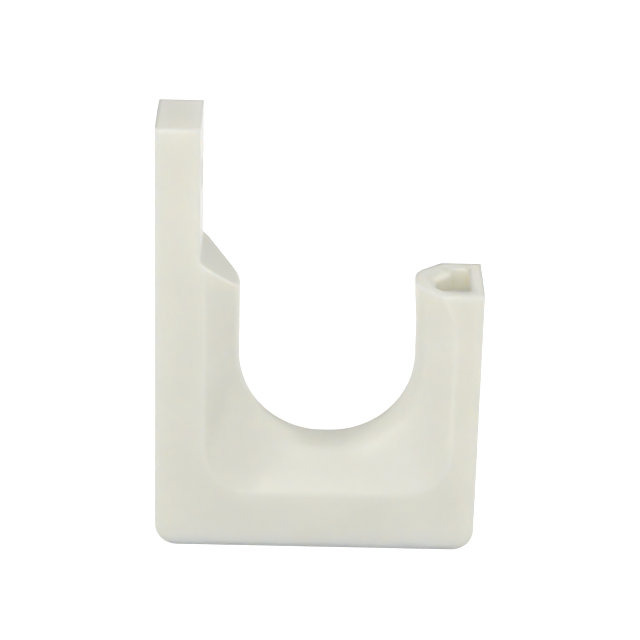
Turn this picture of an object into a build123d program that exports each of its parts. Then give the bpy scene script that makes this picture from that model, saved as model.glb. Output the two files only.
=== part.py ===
from build123d import *
import os
from math import cos, radians, sin, tan

# Cable support J-hook, moulded in one piece of natural nylon, for cable bundles up to 2 in (50.8 mm).
# Origin: the screw hole's axis on the wall face.  +X points away from the wall, +Y runs along the cables
# towards the back, +Z is up.  Sizes are in millimetres.

# Overall form
hook_depth = 25.4
stem_thickness = 12.7
stem_rise = 48.4  # top of the stem above the lip's top
hole_drop = 18.0  # screw hole below the stem's top
arm_thickness = 23.9  # wall face to the saddle's ridge
web_thickness = 31.6  # base to the saddle's ridge
lip_thickness = 18.7  # saddle's ridge to the outer wall
ramp_rise = 8.0  # ramp's top above the lip's top
ramp_angle = 43.3
corner_radius = 6.35

# Saddle, on its ridge at mid-depth
saddle_width = 50.8
saddle_floor = 0.4  # flat between the two quarter rounds
lip_rise = 24.5  # lip's top above the centre of the saddle's round
lip_lean = 0.85  # ridge leans in over the cables by this much at the lip's top
lean_drop = 14.5  # the lean starts this far below the lip's top

# Mouth of the saddle, where its slopes reach the front and back faces
stem_ledge = 1.5  # from the stem's thickness out to the slope
web_spread = 14.1
outer_spread = 11.0
outer_spread_top = 7.3
bend_drop = 8.5  # the outer slope draws in from this far below the lip's top
inner_corner = 14.0
outer_corner = 13.0
bend_radius = 14.0

# Section across the saddle: a round ridge, then straight slopes
ridge_radius = 8.1
slope_angle = 59.8
saddle_steps = 15  # sections drawn on each side of mid-depth

# Soft edges
crease_radius = 1.5
edge_radius = 0.6

# Pocket in the lip's top: a D-shaped mouth that funnels down to a narrower throat
pocket_depth = 6.5
pocket_outer_wall = 3.7
mouth_depth = 2.2
mouth_nose_wall = 2.9
mouth_face_wall = 4.0
mouth_flank = 3.75
mouth_nose_width = 8.0
throat_nose_wall = 6.1
throat_face_wall = 4.3
throat_flank = 5.35
throat_nose_width = 6.0
pocket_nose_radius = 4.0
pocket_corner_radius = 0.8

# Screw hole through the stem, and the fall of both tops from the parting line to the faces
screw_hole_diameter = 7.1
screw_hole_lead_in = 0.8
top_fall = 0.5

# Places worked out from the sizes
half_depth = hook_depth / 2
ridge_right = arm_thickness + saddle_width
saddle_middle = arm_thickness + saddle_width / 2
full_length = ridge_right + lip_thickness
lip_height = web_thickness + saddle_width / 2 + lip_rise
top_z = hole_drop
lip_z = top_z - stem_rise
base_z = lip_z - lip_height
ramp_slope = tan(radians(ramp_angle))
ramp_top_z = lip_z + ramp_rise
ramp_end_z = ramp_top_z - ramp_slope * (saddle_middle - stem_thickness)

# The section across the saddle: its spread in all, and its length from mid-depth to just past the face
slope = radians(slope_angle)
ridge_half_width = ridge_radius * sin(slope)
full_spread = ridge_radius * (1 - cos(slope)) + (half_depth - ridge_half_width) * tan(slope)
half_girth = ridge_radius * slope + (half_depth + edge_radius - ridge_half_width) / cos(slope)


def between(at_ridge, at_face, share):
    """A size of the saddle's opening between its ridge (share 0) and the face (share 1)."""
    return at_ridge + (at_face - at_ridge) * share


def section_across(length):
    """Distance from mid-depth and share of the spread, at a length along the section from its top."""
    turn = min(length / ridge_radius, slope)
    straight = max(length - ridge_radius * slope, 0)
    distance = ridge_radius * sin(turn) + straight * cos(turn)
    fall = ridge_radius * (1 - cos(turn)) + straight * sin(turn)
    return distance, fall / full_spread


def saddle_outline(share):
    """Outline of the saddle's opening at one depth: an upright U that draws in at the lip."""
    left = between(arm_thickness, stem_thickness + stem_ledge, share)
    floor = base_z + web_thickness - web_spread * share
    right = ridge_right + outer_spread * share
    bend_z = lip_z - between(lean_drop, bend_drop, share)
    lip_right = ridge_right - lip_lean + between(0, outer_spread_top, share)
    lean = (lip_right - right) / (lip_z - bend_z)
    points = [
        (left, top_z),
        (left, floor),
        (right, floor),
        (right, bend_z),
        (right + lean * (top_z - bend_z), top_z),
    ]
    round_radius = (saddle_width - saddle_floor) / 2
    radii = [
        0,
        between(round_radius, inner_corner, share),
        between(round_radius, outer_corner, share),
        between(3 * bend_radius, bend_radius, share),
        0,
    ]
    return FilletPolyline(*points, radius=radii, close=True)


def pocket_outline(nose_wall, face_wall, flank, nose_width):
    """D-shaped outline of the pocket: flat outside and faces, two flanks, a blunt nose to the cables."""
    outer_x = full_length - pocket_outer_wall
    nose_x = ridge_right - lip_lean + nose_wall
    half_width = half_depth - face_wall
    half_nose = nose_width / 2
    points = [
        (outer_x, -half_width),
        (outer_x, half_width),
        (nose_x + flank, half_width),
        (nose_x, half_nose),
        (nose_x, -half_nose),
        (nose_x + flank, -half_width),
    ]
    radii = [pocket_corner_radius] * 3 + [pocket_nose_radius] * 2 + [pocket_corner_radius]
    return FilletPolyline(*points, radius=radii, close=True)


with BuildPart() as j_hook:
    # The J as a thick plate: stem, ramp, web and lip
    with BuildSketch(Plane.XZ) as profile:
        with BuildLine():
            Polyline(
                (0, base_z),
                (full_length, base_z),
                (full_length, lip_z),
                (saddle_middle, lip_z),
                (saddle_middle, ramp_end_z),
                (stem_thickness, ramp_top_z),
                (stem_thickness, top_z),
                (0, top_z),
                close=True,
            )
        make_face()
        fillet(profile.vertices().group_by(Axis.Y)[0], corner_radius)
    extrude(amount=half_depth, both=True)

    # The tops of the stem and the lip fall a little from the parting line to both faces
    tops = ((top_z, 0, stem_thickness), (lip_z, saddle_middle, full_length - saddle_middle))
    for height, start, length in tops:
        with BuildSketch(Plane.YZ.offset(start)):
            for side in (-1, 1):
                with BuildLine():
                    Polyline(
                        (0, height),
                        (side * half_depth, height),
                        (side * half_depth, height - top_fall),
                        close=True,
                    )
                make_face()
        extrude(amount=length, mode=Mode.SUBTRACT)

    # The saddle, from the front face's slope over the round ridge to the back face's slope
    for step in range(-saddle_steps, saddle_steps + 1):
        distance, share = section_across(half_girth * abs(step) / saddle_steps)
        with BuildSketch(Plane.XZ.offset(distance if step > 0 else -distance)):
            with BuildLine():
                saddle_outline(share)
            make_face()
    loft(mode=Mode.SUBTRACT)

    # The pocket in the lip's top
    mouth = (mouth_nose_wall, mouth_face_wall, mouth_flank, mouth_nose_width)
    throat = (throat_nose_wall, throat_face_wall, throat_flank, throat_nose_width)
    throat_z = lip_z - mouth_depth
    for height, shape in ((lip_z, mouth), (throat_z, throat)):
        with BuildSketch(Plane.XY.offset(height)):
            with BuildLine():
                pocket_outline(*shape)
            make_face()
    loft(ruled=True, mode=Mode.SUBTRACT)
    with BuildSketch(Plane.XY.offset(throat_z)):
        with BuildLine():
            pocket_outline(*throat)
        make_face()
    extrude(amount=mouth_depth - pocket_depth, mode=Mode.SUBTRACT)

    # The screw hole, through the stem to the wall
    with Locations(Plane(origin=(stem_thickness, 0, 0), z_dir=(1, 0, 0))):
        Hole(radius=screw_hole_diameter / 2, depth=stem_thickness)
    entry_rim = j_hook.edges(Select.LAST).filter_by(GeomType.CIRCLE).sort_by(Axis.X)[-1]
    chamfer(entry_rim, screw_hole_lead_in)

    # Soft creases where the slopes meet the faces, then the edges round both faces
    slopes = j_hook.faces().filter_by(GeomType.BSPLINE)
    fillet(j_hook.faces().filter_by(Axis.Y).edges() & slopes.edges(), crease_radius)
    slopes = j_hook.faces().filter_by(GeomType.BSPLINE)
    fillet(j_hook.faces().filter_by(Axis.Y).edges() - slopes.edges(), edge_radius)

j_hook.part.label = "j_hook"

os.makedirs("parts", exist_ok=True)
export_step(j_hook.part, "parts/j_hook.step")
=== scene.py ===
from math import cos, radians, sin

import bpy
from bpy.props import FloatProperty, FloatVectorProperty, PointerProperty
from bpy.types import Operator, Panel, PropertyGroup
from mathutils import Matrix, Vector


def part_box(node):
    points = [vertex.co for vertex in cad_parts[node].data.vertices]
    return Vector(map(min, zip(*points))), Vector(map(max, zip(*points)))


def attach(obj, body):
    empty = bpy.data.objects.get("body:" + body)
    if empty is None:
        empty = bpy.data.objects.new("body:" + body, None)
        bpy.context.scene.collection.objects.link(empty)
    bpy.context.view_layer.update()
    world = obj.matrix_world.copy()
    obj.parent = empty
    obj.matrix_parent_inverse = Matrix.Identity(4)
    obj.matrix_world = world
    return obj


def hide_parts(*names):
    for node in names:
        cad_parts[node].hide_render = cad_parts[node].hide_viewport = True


bl_info = {
    "name": "Moulded Cable Hook",
    "version": (1, 0, 0),
    "blender": (4, 5, 0),
    "location": "3D View > Sidebar > Cable Hook",
    "description": "Finishes a moulded nylon J-hook for cables and sets it in a pale studio",
    "category": "Object",
}

# The frame is in metres.  The wall face is at X = 0, the cables run along Y, and Z is up.
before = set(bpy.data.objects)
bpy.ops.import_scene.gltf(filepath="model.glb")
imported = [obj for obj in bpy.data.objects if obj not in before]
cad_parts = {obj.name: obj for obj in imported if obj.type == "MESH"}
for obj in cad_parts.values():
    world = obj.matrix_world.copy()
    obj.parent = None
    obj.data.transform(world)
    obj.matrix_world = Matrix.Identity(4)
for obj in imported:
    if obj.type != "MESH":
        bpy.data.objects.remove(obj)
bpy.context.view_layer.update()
hook_low, hook_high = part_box("j_hook")

MM = 0.001
TINY = 0.001 * MM
LIP_TOP = -30.4 * MM


def linear(code):
    """Scene-linear RGBA of an sRGB hex colour."""
    values = [int(code[i : i + 2], 16) / 255 for i in (1, 3, 5)]
    return [v / 12.92 if v <= 0.04045 else ((v + 0.055) / 1.055) ** 2.4 for v in values] + [1.0]


def add_node(tree, kind, settings=None, links=None):
    """A new node with its settings and input values, and the sockets that its inputs come from."""
    node = tree.nodes.new(kind)
    for name, value in (settings or {}).items():
        if hasattr(node, name):
            setattr(node, name, value)
        else:
            node.inputs[name].default_value = value
    for name, socket in (links or {}).items():
        tree.links.new(socket, node.inputs[name])
    return node


def new_material(name):
    """An empty node material and its output node."""
    material = bpy.data.materials.new(name)
    material.use_nodes = True
    material.node_tree.nodes.clear()
    return material, add_node(material.node_tree, "ShaderNodeOutputMaterial")


def larger(tree, first, second):
    """Socket with the larger of two values, each a socket or a number."""
    node = add_node(tree, "ShaderNodeMath", {"operation": "MAXIMUM"})
    for socket, value in zip(node.inputs, (first, second)):
        if isinstance(value, float):
            socket.default_value = value
        else:
            tree.links.new(value, socket)
    return node.outputs["Value"]


def times(tree, socket, factor):
    """Socket with a value times a number."""
    node = add_node(tree, "ShaderNodeMath", {"operation": "MULTIPLY"}, {0: socket})
    node.inputs[1].default_value = factor
    return node.outputs["Value"]


class CABLEHOOK_PG_finish(PropertyGroup):
    """Colours and surface of the moulded nylon."""

    body_colour: FloatVectorProperty(
        name="Body colour",
        description="Natural nylon in most places",
        default=linear("#E9E8E0"),
        size=4,
        min=0,
        max=1,
        subtype="COLOR",
    )
    cloud_colour: FloatVectorProperty(
        name="Cloud colour",
        description="Natural nylon where it crystallised more slowly",
        default=linear("#E1E1D6"),
        size=4,
        min=0,
        max=1,
        subtype="COLOR",
    )
    cloud_size: FloatProperty(
        name="Cloud size",
        description="Width of the soft clouds in the colour",
        default=14 * MM,
        unit="LENGTH",
    )
    light_depth: FloatProperty(
        name="Light depth",
        description="How far light spreads inside the nylon",
        default=8 * MM,
        unit="LENGTH",
    )
    roughness: FloatProperty(
        name="Roughness",
        description="Roughness of the moulded surface",
        default=0.3,
        min=0,
        max=1,
        subtype="FACTOR",
    )
    grain_size: FloatProperty(
        name="Grain size",
        description="Width of the mould's fine spark-eroded grain",
        default=0.35 * MM,
        unit="LENGTH",
    )
    grain_height: FloatProperty(
        name="Grain height", description="Height of that grain", default=0.001 * MM, unit="LENGTH"
    )
    rim_softness: FloatProperty(
        name="Rim softness",
        description="How far the worn mould's rims and creases shade as if rounded",
        default=2.4 * MM,
        unit="LENGTH",
    )
    sink_size: FloatProperty(
        name="Sink size",
        description="Width of the slow waves left as the thick walls shrank",
        default=17 * MM,
        unit="LENGTH",
    )
    sink_height: FloatProperty(
        name="Sink height", description="Height of those waves", default=0.02 * MM, unit="LENGTH"
    )


class CABLEHOOK_PG_studio(PropertyGroup):
    """Floor, lights and camera."""

    floor_colour: FloatVectorProperty(
        name="Floor colour",
        description="Pale floor",
        default=linear("#DADADA"),
        size=4,
        min=0,
        max=1,
        subtype="COLOR",
    )
    floor_width: FloatProperty(
        name="Floor width", description="Side of the square floor", default=6.0, unit="LENGTH"
    )
    floor_glow: FloatProperty(
        name="Floor glow",
        description="Lifts the floor to white where it is seen, and lights nothing",
        default=0.7,
        min=0,
    )
    world_mirror: FloatProperty(
        name="World mirror", description="Brightness of the surroundings in reflections", default=0.3, min=0
    )
    left_power: FloatProperty(
        name="Left power", description="Key softbox low at the left", default=6.7, unit="POWER"
    )
    left_high_power: FloatProperty(
        name="Left high power", description="Softbox high at the left", default=2.4, unit="POWER"
    )
    front_power: FloatProperty(
        name="Front power", description="Softbox high in front", default=5.6, unit="POWER"
    )
    right_power: FloatProperty(
        name="Right power", description="Softbox low at the right", default=0.6, unit="POWER"
    )
    side_power: FloatProperty(
        name="Side power", description="Softbox low, square to the lip's end", default=1.5, unit="POWER"
    )
    side_high_power: FloatProperty(
        name="Side high power", description="Softbox high, square to the lip's end", default=5.8, unit="POWER"
    )
    back_left_power: FloatProperty(
        name="Back left power", description="Softbox behind, at the left", default=2.6, unit="POWER"
    )
    back_right_power: FloatProperty(
        name="Back right power", description="Softbox behind, at the right", default=2.9, unit="POWER"
    )
    back_power: FloatProperty(
        name="Back power", description="Softbox straight behind", default=2.2, unit="POWER"
    )
    softbox_size: FloatProperty(
        name="Softbox size", description="Side of each square softbox", default=1.0, unit="LENGTH"
    )
    softbox_distance: FloatProperty(
        name="Softbox distance", description="From the hook to each softbox", default=1.2, unit="LENGTH"
    )
    camera_target: FloatVectorProperty(
        name="Camera target",
        description="Point that the camera looks at",
        default=(47.0 * MM, 0.0, -44.4 * MM),
        subtype="TRANSLATION",
        unit="LENGTH",
    )
    camera_distance: FloatProperty(
        name="Camera distance", description="From the camera to its target", default=0.8, unit="LENGTH"
    )
    camera_elevation: FloatProperty(
        name="Camera elevation", description="Angle above the floor", default=radians(23.8), subtype="ANGLE"
    )
    camera_azimuth: FloatProperty(
        name="Camera azimuth",
        description="Angle round to the lip's side",
        default=radians(-0.54),
        subtype="ANGLE",
    )
    camera_roll: FloatProperty(
        name="Camera roll", description="Turn about the line of sight", default=radians(1.45), subtype="ANGLE"
    )
    camera_lens: FloatProperty(
        name="Camera lens", description="Focal length in mm on a 36 mm sensor", default=156.0
    )


def natural_nylon(finish):
    """Moulded natural nylon 6/6, milky and slightly yellow-green.

    Light goes a few millimetres in and comes out again, so edges and thin walls glow softly.  The skin is
    satin and waxy, copied from a fine spark-eroded mould.
    """
    material, output = new_material("moulded_natural_nylon")
    tree = material.node_tree
    place = add_node(tree, "ShaderNodeTexCoord").outputs["Object"]
    clouds = add_node(
        tree,
        "ShaderNodeTexNoise",
        {"Scale": 1 / finish.cloud_size, "Detail": 3.0, "Roughness": 0.55},
        {"Vector": place},
    )
    colour = add_node(
        tree,
        "ShaderNodeMix",
        {"data_type": "RGBA", "A": finish.body_colour, "B": finish.cloud_colour},
        {"Factor": clouds.outputs["Fac"]},
    )
    rims = add_node(tree, "ShaderNodeBevel", {"samples": 8, "Radius": finish.rim_softness})
    sink = add_node(
        tree, "ShaderNodeTexNoise", {"Scale": 1 / finish.sink_size, "Detail": 1.0}, {"Vector": place}
    )
    waves = add_node(
        tree,
        "ShaderNodeBump",
        {"Strength": 1.0, "Distance": finish.sink_height},
        {"Height": sink.outputs["Fac"], "Normal": rims.outputs["Normal"]},
    )
    grain = add_node(
        tree, "ShaderNodeTexNoise", {"Scale": 1 / finish.grain_size, "Detail": 2.0}, {"Vector": place}
    )
    skin = add_node(
        tree,
        "ShaderNodeBump",
        {"Strength": 1.0, "Distance": finish.grain_height},
        {"Height": grain.outputs["Fac"], "Normal": waves.outputs["Normal"]},
    )
    shader = add_node(
        tree,
        "ShaderNodeBsdfPrincipled",
        {
            "Roughness": finish.roughness,
            "IOR": 1.53,
            "Subsurface Weight": 1.0,
            "Subsurface Radius": (1.0, 0.85, 0.6),
            "Subsurface Scale": finish.light_depth,
        },
        {"Base Color": colour.outputs["Result"], "Normal": skin.outputs["Normal"]},
    )
    tree.links.new(shader.outputs["BSDF"], output.inputs["Surface"])
    return material


class CABLEHOOK_OT_moulding(Operator):
    """Give the hook a smooth-shaded moulding of natural nylon in place of its plain solid."""

    bl_idname = "cablehook.moulding"
    bl_label = "Moulding"

    def execute(self, context):
        bpy.ops.object.select_all(action="DESELECT")
        moulding = bpy.data.objects.new("moulded_hook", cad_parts["j_hook"].data.copy())
        context.scene.collection.objects.link(moulding)
        moulding.select_set(True)
        context.view_layer.objects.active = moulding
        bpy.ops.object.mode_set(mode="EDIT")
        bpy.ops.mesh.select_all(action="SELECT")
        bpy.ops.mesh.remove_doubles(threshold=0.002 * MM)
        bpy.ops.mesh.dissolve_limited(angle_limit=radians(0.05))
        bpy.ops.object.mode_set(mode="OBJECT")
        bpy.ops.object.shade_smooth_by_angle(angle=radians(28))
        # The mould's parting line stays crisp at mid-depth, along the tops of the stem and the lip
        corners = moulding.data.vertices
        for edge in moulding.data.edges:
            ends = [corners[index].co for index in edge.vertices]
            for top in (hook_high.z, LIP_TOP):
                if all(abs(end.y) < TINY and abs(end.z - top) < TINY for end in ends):
                    edge.use_edge_sharp = True
        # Flat walls keep flat shading right up to their soft edges
        bpy.ops.object.modifier_add(type="WEIGHTED_NORMAL")
        flat_walls = moulding.modifiers[-1]
        flat_walls.weight = 100
        flat_walls.keep_sharp = True
        bpy.ops.object.modifier_apply(modifier=flat_walls.name)
        moulding.data.materials.clear()
        moulding.data.materials.append(natural_nylon(context.scene.cable_hook_finish))
        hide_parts("j_hook")
        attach(moulding, "root")
        return {"FINISHED"}


def pale_floor(studio):
    """Matt white paper sweep: plain and even, it shows as white and keeps the hook's soft shadow."""
    material, output = new_material("matt_paper_floor")
    tree = material.node_tree
    rays = add_node(tree, "ShaderNodeLightPath").outputs
    mirrored = larger(tree, rays["Is Glossy Ray"], rays["Is Transmission Ray"])
    seen = larger(tree, rays["Is Camera Ray"], mirrored)
    lift = times(tree, seen, studio.floor_glow)
    paper = add_node(tree, "ShaderNodeBsdfDiffuse", {"Color": studio.floor_colour})
    glow = add_node(tree, "ShaderNodeEmission", {"Color": (1, 1, 1, 1)}, {"Strength": lift})
    both = add_node(tree, "ShaderNodeAddShader")
    tree.links.new(paper.outputs[0], both.inputs[0])
    tree.links.new(glow.outputs[0], both.inputs[1])
    tree.links.new(both.outputs[0], output.inputs["Surface"])
    return material


def towards(around, above):
    """Direction at an angle round from the front to the lip's side and an angle above the floor."""
    return Vector((sin(around) * cos(above), -cos(around) * cos(above), sin(above)))


def aim(thing, place, target, roll=0.0):
    """Puts a lamp or camera at a place, looking at a target, with a roll about the line of sight."""
    look = (Vector(target) - Vector(place)).normalized()
    right = look.cross(Vector((0, 0, 1))).normalized()
    up = right.cross(look)
    rolled_right = cos(roll) * right + sin(roll) * up
    rolled_up = cos(roll) * up - sin(roll) * right
    turn = Matrix((rolled_right, rolled_up, -look)).transposed()
    thing.matrix_world = Matrix.Translation(place) @ turn.to_4x4()


class CABLEHOOK_OT_studio(Operator):
    """Lay the pale floor, hang the soft lights and set the camera."""

    bl_idname = "cablehook.studio"
    bl_label = "Studio"

    def execute(self, context):
        studio = context.scene.cable_hook_studio
        bpy.ops.object.select_all(action="DESELECT")
        bpy.ops.mesh.primitive_plane_add(size=studio.floor_width, location=(45 * MM, 0, hook_low.z))
        floor = context.object
        floor.name = "paper_floor"
        floor.data.materials.append(pale_floor(studio))

        middle = (hook_low + hook_high) / 2
        for name, around, above, power in (
            ("left_softbox", -30, 10, studio.left_power),
            ("left_high_softbox", -60, 40, studio.left_high_power),
            ("front_softbox", 0, 40, studio.front_power),
            ("right_softbox", 30, 10, studio.right_power),
            ("side_softbox", 90, 10, studio.side_power),
            ("side_high_softbox", 90, 40, studio.side_high_power),
            ("back_left_softbox", -120, 20, studio.back_left_power),
            ("back_right_softbox", 120, 20, studio.back_right_power),
            ("back_softbox", 180, 30, studio.back_power),
        ):
            bpy.ops.object.light_add(type="AREA")
            lamp = context.object
            lamp.name = name
            lamp.data.shape = "SQUARE"
            lamp.data.size = studio.softbox_size
            lamp.data.energy = power
            aim(lamp, middle + studio.softbox_distance * towards(radians(around), radians(above)), middle)

        world = bpy.data.worlds.new("pale_studio")
        world.use_nodes = True
        context.scene.world = world
        tree = world.node_tree
        tree.nodes.clear()
        output = add_node(tree, "ShaderNodeOutputWorld")
        rays = add_node(tree, "ShaderNodeLightPath").outputs
        seen = larger(tree, rays["Is Camera Ray"], rays["Is Transmission Ray"])
        mirrored = times(tree, rays["Is Glossy Ray"], studio.world_mirror)
        strength = larger(tree, seen, mirrored)
        air = add_node(tree, "ShaderNodeBackground", {"Color": (1, 1, 1, 1)}, {"Strength": strength})
        tree.links.new(air.outputs[0], output.inputs["Surface"])

        bpy.ops.object.camera_add()
        camera = context.object
        camera.name = "photo_camera"
        camera.data.sensor_width = 36.0
        camera.data.lens = studio.camera_lens
        camera.data.clip_start = 0.01
        camera.data.clip_end = 50.0
        back = towards(studio.camera_azimuth, studio.camera_elevation)
        target = Vector(studio.camera_target)
        aim(camera, target + studio.camera_distance * back, target, studio.camera_roll)
        context.scene.camera = camera
        context.scene.view_settings.view_transform = "Standard"
        return {"FINISHED"}


class CABLEHOOK_PT_sidebar(Panel):
    """The hook's finish and studio, and the steps that make them"""

    bl_label = "Cable Hook"
    bl_idname = "CABLEHOOK_PT_sidebar"
    bl_space_type = "VIEW_3D"
    bl_region_type = "UI"
    bl_category = "Cable Hook"

    def draw(self, context):
        for title, group, step in (
            ("Moulding", context.scene.cable_hook_finish, CABLEHOOK_OT_moulding),
            ("Studio", context.scene.cable_hook_studio, CABLEHOOK_OT_studio),
        ):
            box = self.layout.box()
            box.label(text=title)
            for name in group.__annotations__:
                box.prop(group, name)
            box.operator(step.bl_idname)


CLASSES = (
    CABLEHOOK_PG_finish,
    CABLEHOOK_PG_studio,
    CABLEHOOK_OT_moulding,
    CABLEHOOK_OT_studio,
    CABLEHOOK_PT_sidebar,
)


def register():
    for each in CLASSES:
        bpy.utils.register_class(each)
    bpy.types.Scene.cable_hook_finish = PointerProperty(type=CABLEHOOK_PG_finish)
    bpy.types.Scene.cable_hook_studio = PointerProperty(type=CABLEHOOK_PG_studio)


def unregister():
    del bpy.types.Scene.cable_hook_studio
    del bpy.types.Scene.cable_hook_finish
    for each in reversed(CLASSES):
        bpy.utils.unregister_class(each)


def main():
    register()
    bpy.ops.cablehook.moulding()
    bpy.ops.cablehook.studio()


if __name__ == "__main__":
    main()
